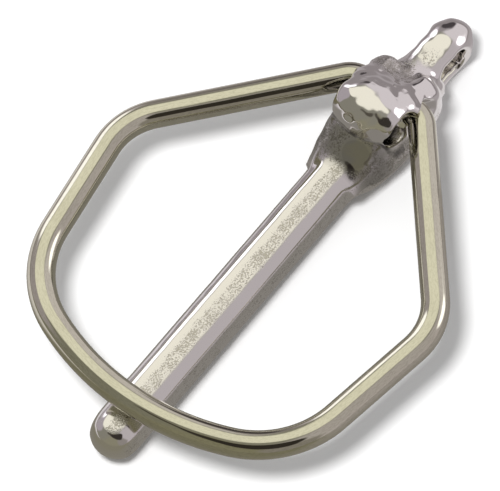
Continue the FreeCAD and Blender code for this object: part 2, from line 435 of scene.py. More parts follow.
class EffectGroup:
    """A shader node group with named inputs and outputs."""

    def __init__(self, name: str, inputs: dict[str, tuple[str, object]],
                 outputs: dict[str, str]) -> None:
        """Make the group's sockets.

        Args:
            name: The group's name.
            inputs: Socket kind and value for each input name.
            outputs: Socket kind for each output name.
        """
        self.tree = bpy.data.node_groups.new(name, "ShaderNodeTree")
        for label, (kind, value) in inputs.items():
            socket = self.tree.interface.new_socket(label, in_out="INPUT", socket_type=kind)
            if value is not None:
                socket.default_value = value
        for label, kind in outputs.items():
            self.tree.interface.new_socket(label, in_out="OUTPUT", socket_type=kind)
        self.graph = Graph(self.tree)
        self.inside = self.tree.nodes.new("NodeGroupInput").outputs
        self.result = self.tree.nodes.new("NodeGroupOutput").inputs

    def place(self, graph: Graph, **values: object) -> bpy.types.Node:
        """Add this group to a material.

        Args:
            graph: The material's graph.
            values: Values or sockets for the group's inputs, by name.

        Returns:
            The group's node.
        """
        made = graph.node("ShaderNodeGroup", node_tree=self.tree)
        for label, value in values.items():
            graph.put(made.inputs[label], value)
        return made


FLOAT, VECTOR, COLOUR = "NodeSocketFloat", "NodeSocketVector", "NodeSocketColor"


def pitting_effect() -> EffectGroup:
    """Build the group for scattered small pits.

    Returns:
        The group: Pits is their mask, and Height sinks at each of them.
    """
    cluster_size, cluster_pull = 0.15, 0.45
    bare_edge, edge_drop, sharpness = 0.80, 0.42, 9.0
    group = EffectGroup(
        "pitting",
        {"Place": (VECTOR, None), "Size": (FLOAT, 3000.0), "Density": (FLOAT, 0.5)},
        {"Pits": FLOAT, "Height": FLOAT})
    g, given = group.graph, group.inside
    clusters = g.noise(given["Place"], g.math("MULTIPLY", given["Size"], cluster_size), 2.0, 0.6)
    grain = g.noise(given["Place"], given["Size"], 2.0, 0.62)
    level = g.math("ADD", grain, g.math("MULTIPLY", g.math("SUBTRACT", clusters, 0.5), cluster_pull))
    edge = g.math("SUBTRACT", bare_edge, g.math("MULTIPLY", given["Density"], edge_drop))
    pits = g.math("MULTIPLY", g.math("SUBTRACT", level, edge), sharpness, clamp=True)
    g.put(group.result["Pits"], pits)
    g.put(group.result["Height"], g.math("SUBTRACT", 1.0, pits))
    return group


def handling_effect() -> EffectGroup:
    """Build the group for the marks that handling leaves on bright metal.

    Returns:
        The group: Smears and Scratches are their masks.
    """
    smear_range, scratch_range = (0.42, 0.7), (0.56, 0.72)
    drawn_out = (0.06, 1.0, 1.0)
    group = EffectGroup(
        "handling",
        {"Place": (VECTOR, None), "Smear size": (FLOAT, 120.0), "Scratch size": (FLOAT, 1500.0)},
        {"Smears": FLOAT, "Scratches": FLOAT})
    g, given = group.graph, group.inside
    smears = g.remap(g.noise(given["Place"], given["Smear size"], 3.0, 0.6), *smear_range)
    drawn = g.vector("MULTIPLY", given["Place"], drawn_out)
    scratches = g.remap(g.noise(drawn, given["Scratch size"], 2.0, 0.5), *scratch_range)
    g.put(group.result["Smears"], smears)
    g.put(group.result["Scratches"], scratches)
    return group


@dataclass
class Effects:
    """The effects that the finishes share, each built once."""

    pitting: EffectGroup = field(default_factory=pitting_effect)
    handling: EffectGroup = field(default_factory=handling_effect)


# ---------------------------------------------------------------- finishes


@dataclass(frozen=True)
class Finish:
    """A metal finish."""

    name: str
    bright: Colour
    dull: Colour
    roughness: float

    def start(self) -> tuple[bpy.types.Material, Graph, bpy.types.Node]:
        """Make the material with a metallic shader in it.

        Returns:
            The material, its graph and the shader node.
        """
        made = bpy.data.materials.new(self.name)
        graph = empty_graph(made)
        shader = graph.node("ShaderNodeBsdfPrincipled", {"Metallic": 1.0, "Roughness": self.roughness})
        out = graph.node("ShaderNodeOutputMaterial")
        graph.put(out.inputs["Surface"], shader.outputs[0])
        return made, graph, shader


@dataclass(frozen=True)
class CastFinish(Finish):
    """Polished casting whose hollows keep their raw, pitted skin, with painted shade darkening its holes and
    creases.
    """

    raw_roughness: float = 0.30
    smear_roughness: float = 0.05
    pit_roughness: float = 0.3
    pit_size: float = 3600.0
    pit_cover: float = 0.62
    wave_size: float = 420.0
    relief: float = 0.00003
    # painted shade: this dark colour and its share darken the cross holes, the crease under the crown and
    # the shoulder beneath it
    painted_shade: Colour = (0.05, 0.045, 0.043)
    painted_shade_cover: float = 0.85

    def build(self, effects: Effects) -> bpy.types.Material:
        """Build the material.

        Args:
            effects: The shared effect groups.

        Returns:
            The finished material.
        """
        made, g, shader = self.start()
        place = g.node("ShaderNodeTexCoord").outputs["Object"]
        raw = g.attribute("raw")
        pits = effects.pitting.place(g, Place=place, Size=self.pit_size, Density=raw).outputs
        smears = effects.handling.place(g, Place=place).outputs["Smears"]
        pitted = g.math("MULTIPLY", pits["Pits"], self.pit_cover)
        metal = g.mix(pitted, (*self.bright, 1), (*self.dull, 1))
        # painted shade: the mesh attribute for the holes, the crease and the overhang mixes the dark colour
        # into the metal
        shade_share = g.math("MULTIPLY", g.attribute("painted_shade"), self.painted_shade_cover)
        g.put(shader.inputs["Base Color"], g.mix(shade_share, metal, (*self.painted_shade, 1)))
        worn = g.math("MULTIPLY_ADD", smears, self.smear_roughness, self.roughness)
        skin = g.math("MULTIPLY", raw, self.raw_roughness - self.roughness)
        pit_skin = g.math("MULTIPLY", pitted, self.pit_roughness)
        g.put(shader.inputs["Roughness"], g.math("ADD", worn, g.math("MAXIMUM", skin, pit_skin)))
        waves = g.noise(place, self.wave_size, 2.0, 0.5)
        height = g.math("MULTIPLY_ADD", waves, 0.5, g.math("MULTIPLY", pits["Height"], 0.5))
        g.put(shader.inputs["Normal"], g.bump(height, self.relief))
        return made


@dataclass(frozen=True)
class WireFinish(Finish):
    """Drawn and polished wire with faint lines along its length."""

    line_height: float = 0.00002
    line_size: float = 1400.0
    line_stretch: float = 0.035
    grain_size: float = 5200.0
    grain_stretch: float = 0.3
    grain_cover: float = 0.26
    smear_cover: float = 0.12
    pit_size: float = 2200.0
    pit_density: float = 0.12
    pit_cover: float = 0.5
    scratch_roughness: float = 0.10

    def build(self, effects: Effects) -> bpy.types.Material:
        """Build the material.

        Args:
            effects: The shared effect groups.

        Returns:
            The finished material.
        """
        made, g, shader = self.start()
        place = g.attribute("wire_place", "Vector")
        pits = effects.pitting.place(g, Place=place, Size=self.pit_size, Density=self.pit_density)
        marks = effects.handling.place(g, Place=place).outputs
        grained = g.vector("MULTIPLY", place, (self.grain_stretch, 1.0, 1.0))
        grain = g.remap(g.noise(grained, self.grain_size, 1.0, 0.5), 0.35, 0.75)
        tone = g.math("MULTIPLY_ADD", marks["Smears"], self.smear_cover,
                      g.math("MULTIPLY", grain, self.grain_cover))
        shade = g.math("MAXIMUM", tone, g.math("MULTIPLY", pits.outputs["Pits"], self.pit_cover))
        g.put(shader.inputs["Base Color"], g.mix(shade, (*self.bright, 1), (*self.dull, 1)))
        rough = g.math("MULTIPLY_ADD", marks["Scratches"], self.scratch_roughness, self.roughness)
        g.put(shader.inputs["Roughness"], rough)
        drawn = g.vector("MULTIPLY", place, (self.line_stretch, 1.0, 1.0))
        lines = g.noise(drawn, self.line_size, 2.0, 0.6)
        g.put(shader.inputs["Normal"], g.bump(lines, self.line_height))
        return made


# ---------------------------------------------------------------- pin body


@dataclass(frozen=True)
class HingeHole:
    """The cross hole that the ring turns in, opened outside for the sweep of the ring's legs."""

    z: float = 10.65
    radius: float = 2.32
    sweep_from: float = 3.2
    leg_slope: float = 0.839
    leg_cosine: float = 0.77
    lip: float = 1.0
    lip_from: float = 2.0
    lip_fade: float = 0.6

    def hollow(self, x: np.ndarray, y: np.ndarray, z: np.ndarray) -> np.ndarray:
        """Work out the field of the hole and of the sweep; a lip stands over the wire's root.

        Args:
            x, y, z: Places in mm.

        Returns:
            The field there, in mm, negative inside.
        """
        off_line = np.hypot(x, z - self.z)
        lip = self.lip * np.clip((z - self.z - self.lip_from) / self.lip_fade, 0, 1)
        sweep = self.leg_cosine * (self.sweep_from + lip + self.leg_slope * off_line - np.abs(y))
        return np.minimum(off_line - self.radius, sweep)


@dataclass(frozen=True)
class SpareHole:
    """The empty second cross hole, flared and drawn up and back where it comes out."""

    x: float = -5.3
    z: float = 11.8
    radius: float = 2.45
    flare_from: float = 3.4
    flare: float = 0.22
    drawn: Point = (0.28, 0.25)

    def hollow(self, x: np.ndarray, y: np.ndarray, z: np.ndarray) -> np.ndarray:
        """Work out the field of the hole.

        Args:
            x, y, z: Places in mm.

        Returns:
            The field there, in mm, negative inside.
        """
        out = np.maximum(np.abs(y) - self.flare_from, 0)
        across, up = x - self.x - self.drawn[0] * out, z - self.z - self.drawn[1] * out
        return np.hypot(across, up) - self.radius - self.flare * out


@dataclass(frozen=True)
class Eye:
    """The lifting eye: a flat-topped bar with a rounded end and an oval cross hole."""

    start: float = 5.5
    end: float = 20.96
    end_round: float = 6.4
    half: float = 4.1
    mid_z: float = 4.45
    rise: float = 4.35
    squareness: float = 2.6
    flare: float = 0.10
    hole_x: float = 12.9
    hole_z: float = 4.3
    hole_radius: float = 2.6
    hole_straight: float = 1.3
    hole_flare: float = 0.12
    hole_flare_from: float = 2.0
    rim: float = 1.0

    def bar(self, x: np.ndarray, y: np.ndarray, z: np.ndarray) -> np.ndarray:
        """Work out the field of the eye with its hole.

        Args:
            x, y, z: Places in mm.

        Returns:
            The field there, in mm, negative inside.
        """
        power = self.squareness
        ahead = np.maximum(x - self.end + self.end_round, 0) / self.end_round
        across = (np.abs(y) + self.flare * np.maximum(z - self.mid_z, 0)) / self.half
        up = np.abs(z - self.mid_z) / self.rise
        bar = np.sqrt((across ** power + up ** power) ** (2 / power) + ahead ** 2)
        bar = np.maximum((bar - 1) * self.half, self.start - x)
        reach = np.maximum(np.abs(x - self.hole_x) - self.hole_straight, 0)
        flare = self.hole_flare * np.maximum(np.abs(y) - self.hole_flare_from, 0)
        hole = np.sqrt(reach ** 2 + (z - self.hole_z) ** 2) - self.hole_radius - flare
        return blend_max(bar, -hole, self.rim)


@dataclass(frozen=True)
class Patch:
    """A soft-edged region of the casting's skin, in mm."""

    centre: Place
    reach: Place
    strength: float

    def at(self, points: np.ndarray) -> np.ndarray:
        """How strongly each point lies in the patch."""
        far = sum(((p - c) / r) ** 2 for p, c, r in zip(points.T, self.centre, self.reach))
        return self.strength * np.clip(1.4 - far, 0, 1)


@dataclass
class PinBody:
    """The one-piece casting: faceted shank with a bullet nose, shoulder, raised head and eye."""

    tip_x: float = -73.5
    shank_half: float = 3.7
    shank_mid: float = 4.05
    shank_end: float = -2.0
    chamfer: Point = (1.9, 1.45)
    nose: float = 5.4
    nose_radius: float = 4.65
    base_start: float = -15.0
    base_end: float = 10.0
    shoulder_half: float = 5.4
    shoulder_end: float = -4.0
    front_x: float = -9.6
    front_mid_z: float = 12.5
    front_lean: float = 0.16
    front_bulge: float = 0.06
    slant: Point = (0.82, 0.57)
    slant_depth: float = 1.5
    head_bottom: float = 5.5
    head_end: float = 10.5
    hinge: HingeHole = HingeHole()
    spare: SpareHole = SpareHole()
    eye: Eye = Eye()
    ripple: Ripple = field(default_factory=Ripple)
    fine_ripple: Ripple = field(default_factory=lambda: Ripple(0.022, 3.2, 16, 5))
    shoulder_skin: Patch = Patch((-10.5, 0, 8), (4.0, 7.5, 6.5), 0.8)
    low_skin: Patch = Patch((-6, -5, 5), (8, 4, 5), 0.8)
    ledge_skin: Patch = Patch((10.6, -0.3, 8.6), (2.4, 1.8, 1.5), 0.6)
    valley_skin: Patch = Patch((5.0, 2.6, 10.5), (4.6, 4.2, 3.2), 0.9)

    head_top: SmoothLine = field(default_factory=lambda: SmoothLine((
        (-12.0, 14.4), (-9.6, 15.2), (-7.6, 16.5), (-5.6, 17.35), (-3.8, 17.52), (-1.8, 16.6),
        (0.2, 14.9), (2.0, 13.0), (3.6, 11.4), (5.2, 10.1), (6.8, 9.1), (8.6, 8.0), (10.0, 6.5),
        (14.0, 4.0))))
    ear_top: SmoothLine = field(default_factory=lambda: SmoothLine((
        (-12.0, 14.4), (-9.6, 15.2), (-7.6, 16.5), (-5.6, 17.4), (-3.8, 17.0), (-1.8, 15.8),
        (0.2, 14.5), (2.0, 13.3), (4.0, 12.2), (5.6, 11.6), (6.8, 11.0), (7.6, 9.4), (8.6, 7.0),
        (14.0, 4.0)), 4))
    head_side: SmoothLine = field(default_factory=lambda: SmoothLine((
        (-12.0, 5.3), (-9.4, 5.7), (-6.0, 5.8), (-3.0, 5.9), (-1.4, 6.5), (0.6, 6.8), (3.0, 6.6),
        (4.8, 6.4), (6.0, 5.9), (6.8, 5.1), (7.8, 4.3), (10.0, 3.8), (14.0, 3.5))))
    base_top: SmoothLine = field(default_factory=lambda: SmoothLine((
        (-16.0, 4.0), (-13.6, 6.4), (-12.0, 7.4), (-9.0, 8.0), (3.0, 8.0), (6.0, 7.4), (9.0, 5.0),
        (12.0, 3.0))))
    base_side: SmoothLine = field(default_factory=lambda: SmoothLine((
        (-16.0, 2.6), (-14.0, 3.2), (-12.7, 4.0), (-11.4, 5.1), (-10.0, 5.8), (-7.0, 6.4),
        (-3.0, 6.8), (0.8, 6.8), (4.0, 6.7), (6.2, 5.6), (7.6, 4.4), (10.0, 3.9), (14.0, 3.8))))
    shoulder_top: SmoothLine = field(default_factory=lambda: SmoothLine((
        (-16.0, 6.2), (-14.0, 7.2), (-13.0, 8.0), (-11.8, 9.5), (-10.4, 11.3), (-9.2, 12.6),
        (-8.0, 13.2), (-4.0, 13.6))))

    def _shank(self, x: np.ndarray, y: np.ndarray, z: np.ndarray) -> np.ndarray:
        """Work out the field of the shank.

        Args:
            x, y, z: Places in mm.

        Returns:
            The field there, in mm, negative inside.
        """
        across, up = np.abs(y) - self.shank_half, np.abs(z - self.shank_mid) - self.shank_mid
        wide, high = self.chamfer
        corner = (across / wide + up / high + 1) / math.hypot(1 / wide, 1 / high)
        section = blend_max(blend_max(across, up, 0.1), corner, 0.5)
        ahead = np.maximum(self.tip_x + self.nose - x, 0) * self.nose_radius / self.nose
        bullet = np.sqrt(ahead ** 2 + y ** 2 + (z - self.shank_mid) ** 2) - self.nose_radius
        return blend_max(blend_max(section, bullet, 0.9), x - self.shank_end, 0.5)

    def _base(self, x: np.ndarray, y: np.ndarray, z: np.ndarray) -> np.ndarray:
        """Work out the field of the head's wide lower part, widest at mid height.

        Args:
            x, y, z: Places in mm.

        Returns:
            The field there, in mm, negative inside.
        """
        near_hinge = np.clip((6.6 - np.abs(x)) / 3.0, 0, 1)
        above = (0.20 + 0.26 * near_hinge) * np.maximum(z - 4.6, 0)
        drawn_in = above + 0.16 * np.maximum(4.5 - z, 0)
        side = self.base_side.above(x, np.abs(y) + drawn_in) * 0.9
        top = np.maximum(-z, self.base_top.above(x, z))
        ends = np.maximum(self.base_start - x, x - self.base_end)
        return np.maximum(blend_max(side, top, 1.6), ends)

    def _shoulder(self, x: np.ndarray, y: np.ndarray, z: np.ndarray) -> np.ndarray:
        """Work out the field of the hump that climbs from the shank's top to the raised head.

        Args:
            x, y, z: Places in mm.

        Returns:
            The field there, in mm, negative inside.
        """
        top = self.shoulder_top.above(x, z + 0.05 * y ** 2)
        ends = np.maximum(np.maximum(self.base_start - x, x - self.shoulder_end), 5.0 - z)
        return np.maximum(blend_max(top, np.abs(y) - self.shoulder_half, 2.6), ends)

    def _head(self, x: np.ndarray, y: np.ndarray, z: np.ndarray) -> np.ndarray:
        """Work out the field of the raised head: a crown that falls to two ears behind.

        Args:
            x, y, z: Places in mm.

        Returns:
            The field there, in mm, negative inside.
        """
        ear = np.clip((np.abs(y - 0.4) - 1.0) / 2.6, 0, 1)
        ear = ear * ear * (3 - 2 * ear)
        top = (1 - ear) * self.head_top.above(x, z) + ear * self.ear_top.above(x, z)
        face = self.front_x - self.front_lean * (z - self.front_mid_z) + self.front_bulge * y ** 2
        front = (face - x) / (1 + 0.03 * np.abs(y))
        side = self.head_side.above(x, np.abs(y + 0.25))
        slant = self.slant[0] * (top + self.slant_depth) + self.slant[1] * side
        crown = blend_max(top, front, 3.4)
        edged = blend_max(blend_max(crown, slant, 0.9), side, 1.0)
        return np.maximum(edged, np.maximum(x - self.head_end, self.head_bottom - z))

    def _lower(self, x: np.ndarray, y: np.ndarray, z: np.ndarray) -> np.ndarray:
        """Work out the field of everything but the raised head.

        Args:
            x, y, z: Places in mm.

        Returns:
            The field there, in mm, negative inside.
        """
        lower = blend_min(self._shank(x, y, z), self._base(x, y, z), 1.6)
        lower = blend_min(lower, self._shoulder(x, y, z), 1.4)
        return blend_min(lower, self.eye.bar(x, y, z), 1.6)

    def _waves(self, x: np.ndarray, y: np.ndarray, z: np.ndarray) -> np.ndarray:
        """Work out the polishing waves: none at the table, faint on the shank, high on the crown.

        Args:
            x, y, z: Places in mm.

        Returns:
            The height of the waves there, in mm.
        """
        calm = np.clip(z / 3.0, 0, 1) * np.clip((x + 16) / 6, 0.15, 1)
        uneven = 1 + 0.7 * np.clip((z - 10) / 3, 0, 1)
        return calm * (self.ripple(x, y, z) + uneven * self.fine_ripple(x, y, z))

    def casting(self, x: np.ndarray, y: np.ndarray, z: np.ndarray) -> np.ndarray:
        """Work out the field of the whole casting.

        Args:
            x, y, z: Places in mm.

        Returns:
            The field there, in mm, negative inside.
        """
        fillet = 0.4 + 1.0 * np.clip((x + 4) / 6, 0, 1)
        whole = blend_min(self._lower(x, y, z), self._head(x, y, z), fillet)
        whole = blend_max(whole, -self.spare.hollow(x, y, z), 0.8)
        whole = np.maximum(blend_max(whole, -self.hinge.hollow(x, y, z), 0.35), -z)
        return whole - self._waves(x, y, z)

    def grid(self) -> tuple[np.ndarray, np.ndarray, np.ndarray]:
        """Lay out the grid: close together at the nose and the head, wider along the plain shank.

        Returns:
            The grid lines along each axis, in mm.
        """
        nose = np.arange(self.tip_x - 0.4, self.tip_x + 7.0, 0.25)
        shank = np.arange(nose[-1] + 0.7, -15.5, 0.7)
        head = np.arange(shank[-1] + 0.22, self.eye.end + 0.7, 0.22)
        side = np.arange(-7.65, 7.66, 0.18)
        height = np.arange(-0.45, 18.0, 0.18)
        return np.concatenate([nose, shank, head]), side, height

    def raw_skin(self, points: np.ndarray, normals: np.ndarray) -> np.ndarray:
        """Work out how much of the raw cast skin is left.

        Args:
            points: Places on the surface, in mm.
            normals: Unit normals there.

        Returns:
            One number for each place, from 0 polished to 1 raw.
        """
        x, y, z = points.T
        below_head = self._head(x, y, z) > 0.1
        shoulder = self.shoulder_skin.at(points) * np.clip((13.4 - z) / 0.8, 0, 1) * below_head
        upright = np.clip(np.abs(normals[:, 1]) * 2.4 - 1.2, 0, 1)
        flanks = 0.55 * upright * (np.abs(y) > 3.2) * (z < 8.5) * (x < 5)
        along_middle = np.clip(1.7 - np.abs(y + 0.55) / 1.05, 0, 1)
        top_flat = 0.80 * along_middle * (normals[:, 2] > 0.9) * (x < -12)
        patches = [patch.at(points) for patch in (self.low_skin, self.valley_skin, self.ledge_skin)]
        bores = 0.5 * self._in_bores(points)
        raw = np.maximum.reduce([shoulder, flanks, *patches, top_flat, bores])
        return np.clip(raw, 0, 1) * (1 - self._smooth_shaded_spot(points))

    def painted_shade(self, points: np.ndarray) -> np.ndarray:
        """Work out the painted shade: darkening deep in the cross holes, in the crease under the crown and
        on the shoulder under the crown's overhang.

        Args:
            points: Places on the surface, in mm.

        Returns:
            One number for each place, from 0 unshaded to 1 dark.
        """
        x, y, z = points.T
        head = self._head(x, y, z)
        creases = np.clip(1.5 - (np.abs(self._lower(x, y, z)) + np.abs(head)) / 0.30, 0, 1) * (x < -4)
        shoulder = 0.5 * np.clip(1.2 - ((x + 10.6) / 3.8) ** 2, 0, 1) * (np.abs(y) + z > 8.4)
        bores = 0.75 * self._in_bores(points)
        return np.maximum.reduce([bores, creases, shoulder * (head > 0.1), 0.6 * self._smooth_shaded_spot(points)])

    def _smooth_shaded_spot(self, points: np.ndarray) -> np.ndarray:
        """Smooth spot in the middle of the shoulder, 0 to 1: the raw skin is taken off there, and it gets
        painted shade from the crown's overhang.
        """
        far = np.linalg.norm((points - (-11.2, -2.0, 10.0)) / (2.4, 2.5, 2.6), axis=1)
        return np.clip((1.15 - far) / 0.25, 0, 1)

    def _in_bores(self, points: np.ndarray) -> np.ndarray:
        """Work out how deep each place lies inside a cross hole.

        Args:
            points: Places on the surface, in mm.

        Returns:
            One number for each place, from 0 outside to 1 deep inside.
        """
        x, y, z = points.T
        hinge = np.hypot(x, z - self.hinge.z) < self.hinge.radius + 0.15
        spare = np.hypot(x - self.spare.x, z - self.spare.z) < self.spare.radius + 0.15
        return (hinge | spare) * np.clip((5.2 - np.abs(y)) / 1.2, 0, 1)

    def build(self) -> bpy.types.Object:
        """Build the casting's mesh.

        Returns:
            The object, in metres.
        """
        points, quads, normals = NetMesher(self.grid(), self.casting).mesh()
        mesh = bpy.data.meshes.new("cast_pin")
        mesh.from_pydata((points * MM).tolist(), [], quads.tolist())
        mesh.shade_smooth()
        # raw is the cast skin; the second attribute is painted shade for the holes, the crease and the
        # shoulder under the crown
        for name, values in (("raw", self.raw_skin(points, normals)), ("painted_shade", self.painted_shade(points))):
            noted = mesh.attributes.new(name, "FLOAT", "POINT")
            noted.data.foreach_set("value", values.astype(np.float32))
        mesh.normals_split_custom_set_from_vertices(normals.tolist())
        LOG.info("cast_pin: %d quads, from %s to %s mm", len(quads), points.min(0).round(2),
                 points.max(0).round(2))
        return new_object("cast_pin", mesh)

    def dress(self, piece: bpy.types.Object, material: bpy.types.Material) -> None:
        """Give the casting its finish and its place in the frame.

        Args:
            piece: The casting.
            material: Its finish.
        """
        piece.data.materials.append(material)
        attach(piece, Body.PIN.value)
        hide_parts("pin_body")


# ---------------------------------------------------------------- ring


@dataclass
class WireRing:
    """The sprung ring: two pegs in the head, two legs, four corners and a bowed far side."""

    wire_radius: float = 2.25
    height: float = 10.65
    peg_gap: float = 3.0
    leg_y: float = 6.47
    leg_deg: float = 40.0
    leg_x: float = 28.44
    side_deg: float = 8.9
    bend_r: float = 3.5
    front_r: float = 11.3
    rear_r: float = 17.0
    far_r: float = 43.0
    far_x: float = 66.3
    step: float = 0.7
    sides: int = 48

    @staticmethod
    def _arc(centre: np.ndarray, radius: float, start: float, end: float, step: float) -> np.ndarray:
        """Place points along an arc.

        Args:
            centre: The arc's centre, in mm.
            radius: Its radius.
            start: First angle, in radians.
            end: Last angle.
            step: Length between points.

        Returns:
            The points (x, y), in mm.
        """
        count = max(6, round(abs(end - start) * radius / step))
        angles = np.linspace(start, end, count + 1)
        return centre + radius * np.stack([np.cos(angles), np.sin(angles)], 1)

    def _half(self) -> np.ndarray:
        """Lay out the +Y half: peg, bend, leg, front corner, side, rear corner, far side.

        Returns:
            Points (x, y) in mm from the peg's end to the middle of the far side.
        """
        leg_turn, side_turn = math.radians(180 - self.leg_deg), math.radians(180 + self.side_deg)
        leg = np.array([math.cos(leg_turn), math.sin(leg_turn)])
        side = np.array([math.cos(side_turn), math.sin(side_turn)])
        inward = np.array([-side[1], side[0]])
        bend_reach = self.bend_r * math.tan((leg_turn - math.pi / 2) / 2)
        bend_centre = np.array([-self.bend_r, self.leg_y - bend_reach])
        corner = np.array([-self.leg_x, self.leg_y + self.leg_x * math.tan(math.radians(self.leg_deg))])
        front_reach = self.front_r * math.tan((side_turn - leg_turn) / 2)
        front_centre = corner - leg * front_reach + np.array([-leg[1], leg[0]]) * self.front_r
        far_centre = np.array([self.far_r - self.far_x, 0.0])
        offset = corner + inward * self.rear_r - far_centre
        along = -offset @ side + math.sqrt(
            (offset @ side) ** 2 - offset @ offset + (self.far_r - self.rear_r) ** 2)
        rear_centre = far_centre + offset + side * along
        spoke = math.atan2(*(rear_centre - far_centre)[::-1])
        peg = np.array([[0.0, self.peg_gap / 2], [0.0, self.peg_gap / 2 + 1.5]])
        quarter = math.pi / 2
        parts = [peg,
                 self._arc(bend_centre, self.bend_r, 0.0, leg_turn - quarter, self.step / 2),
                 self._arc(front_centre, self.front_r, leg_turn - quarter, side_turn - quarter, self.step),
                 self._arc(rear_centre, self.rear_r, side_turn - quarter, spoke, self.step),
                 self._arc(far_centre, self.far_r, spoke, math.pi, self.step)[1:]]
        return np.concatenate(parts)

    def centre_line(self) -> np.ndarray:
        """Whole centre line, with its straight runs divided evenly.

        Returns:
            Points (x, y) in mm from one peg to the other.
        """
        half = self._half()
        line = np.concatenate([half, (half[:-1] * (1, -1))[::-1]])
        gaps = np.linalg.norm(np.diff(line, axis=0), axis=1)
        pieces = [line[:1]]
        for start, end, gap in zip(line, line[1:], gaps):
            count = max(1, round(gap / (2 * self.step)))
            parts = np.linspace(0, 1, count + 1)[1:, None]
            pieces.append(start + parts * (end - start))
        return np.concatenate(pieces)

    def _curve(self) -> bpy.types.Object:
        """Draw the centre line as a curve.

        Returns:
            The curve's object.
        """
        line = self.centre_line()
        curve = bpy.data.curves.new("ring_line", "CURVE")
        curve.dimensions = "3D"
        spline = curve.splines.new("POLY")
        spline.points.add(len(line) - 1)
        places = np.c_[line, np.full(len(line), self.height), np.full(len(line), 1 / MM)] * MM
        spline.points.foreach_set("co", places.ravel())
        return new_object("ring_line", curve)

    def _tree(self) -> bpy.types.NodeTree:
        """Build the Geometry Nodes that draw the wire and note each place along and round it.

        Returns:
            The node tree.
        """
        tree = bpy.data.node_groups.new("round_wire", "GeometryNodeTree")
        for label, way, kind in (("Line", "INPUT", "NodeSocketGeometry"),
                                 ("Wire radius", "INPUT", FLOAT),
                                 ("Sides", "INPUT", "NodeSocketInt"),
                                 ("Finish", "INPUT", "NodeSocketMaterial"),
                                 ("Wire", "OUTPUT", "NodeSocketGeometry")):
            tree.interface.new_socket(label, in_out=way, socket_type=kind)
        g = Graph(tree)
        given = tree.nodes.new("NodeGroupInput").outputs
        result = tree.nodes.new("NodeGroupOutput").inputs
        along = g.node("GeometryNodeSplineParameter").outputs["Length"]
        noted = g.node("GeometryNodeStoreNamedAttribute",
                       {"Geometry": given["Line"], "Name": "along", "Value": along},
                       data_type="FLOAT", domain="POINT")
        circle = g.node("GeometryNodeCurvePrimitiveCircle",
                        {"Resolution": given["Sides"], "Radius": given["Wire radius"]})
        marked = g.node("GeometryNodeStoreNamedAttribute",
                        {"Geometry": circle.outputs[0], "Name": "round",
                         "Value": g.node("GeometryNodeInputPosition").outputs[0]},
                        data_type="FLOAT_VECTOR", domain="POINT")
        tube = g.node("GeometryNodeCurveToMesh",
                      {"Curve": noted.outputs[0], "Profile Curve": marked.outputs[0],
                       "Fill Caps": True})
        read_along = g.node("GeometryNodeInputNamedAttribute", {"Name": "along"}, data_type="FLOAT")
        read_round = g.node("GeometryNodeInputNamedAttribute", {"Name": "round"},
                            data_type="FLOAT_VECTOR")
        parts = g.node("ShaderNodeSeparateXYZ", {0: read_round.outputs[0]})
        place = g.node("ShaderNodeCombineXYZ", {0: read_along.outputs[0], 1: parts.outputs[0],
                                                2: parts.outputs[1]})
        placed = g.node("GeometryNodeStoreNamedAttribute",
                        {"Geometry": tube.outputs[0], "Name": "wire_place", "Value": place.outputs[0]},
                        data_type="FLOAT_VECTOR", domain="POINT")
        smooth = g.node("GeometryNodeSetShadeSmooth", {"Geometry": placed.outputs[0]})
        real = g.node("GeometryNodeRealizeInstances", {"Geometry": smooth.outputs[0]})
        dressed = g.node("GeometryNodeSetMaterial",
                         {"Geometry": real.outputs[0], "Material": given["Finish"]})
        g.put(result[0], dressed.outputs[0])
        return tree

    def build(self, material: bpy.types.Material) -> bpy.types.Object:
        """Draw the wire and turn it into a plain mesh.

        Args:
            material: The wire's finish.

        Returns:
            The object, in metres.
        """
        line = self._curve()
        tree = self._tree()
        modifier = line.modifiers.new("round_wire", "NODES")
        modifier.node_group = tree
        values = {"Wire radius": self.wire_radius * MM, "Sides": self.sides, "Finish": material}
        for item in tree.interface.items_tree:
            if item.in_out == "INPUT" and item.name in values:
                modifier[item.identifier] = values[item.name]
        bpy.context.view_layer.update()
        seen = line.evaluated_get(bpy.context.evaluated_depsgraph_get())
        mesh = bpy.data.meshes.new_from_object(seen)
        mesh.name = "wire_ring"
        line.modifiers.remove(modifier)
        bpy.data.objects.remove(line)
        LOG.info("wire_ring: %d faces", len(mesh.polygons))
        return new_object("wire_ring", mesh)

    def dress(self, piece: bpy.types.Object) -> None:
        """Give the ring its place in the frame.

        Args:
            piece: The ring, which has its finish already.
        """
        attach(piece, Body.RING.value)
        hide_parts("ring")


# ---------------------------------------------------------------- studio


@dataclass(frozen=True)
class Panel:
    """A soft-edged patch of the surroundings, placed by its azimuth and its angle from overhead."""

    azimuth: float
    from_zenith: float
    reach: float
    edge: float
    colour: Colour

    def heading(self) -> Place:
        """Work out where the patch is.

        Returns:
            Unit vector towards its middle.
        """
        a, t = math.radians(self.azimuth), math.radians(self.from_zenith)
        return (math.sin(t) * math.cos(a), math.sin(t) * math.sin(a), math.cos(t))


@dataclass(frozen=True)
class FloorSide:
    """Tone of the floor's reflection beyond a distance along a heading, in metres."""

    heading: Place
    start: float
    end: float
    colour: Colour
    near_only: bool = False


@dataclass(frozen=True)
class FloorSpot:
    """Tone of the floor's reflection in a round spot, in metres."""

    centre: Place
    inner: float
    outer: float
    colour: Colour


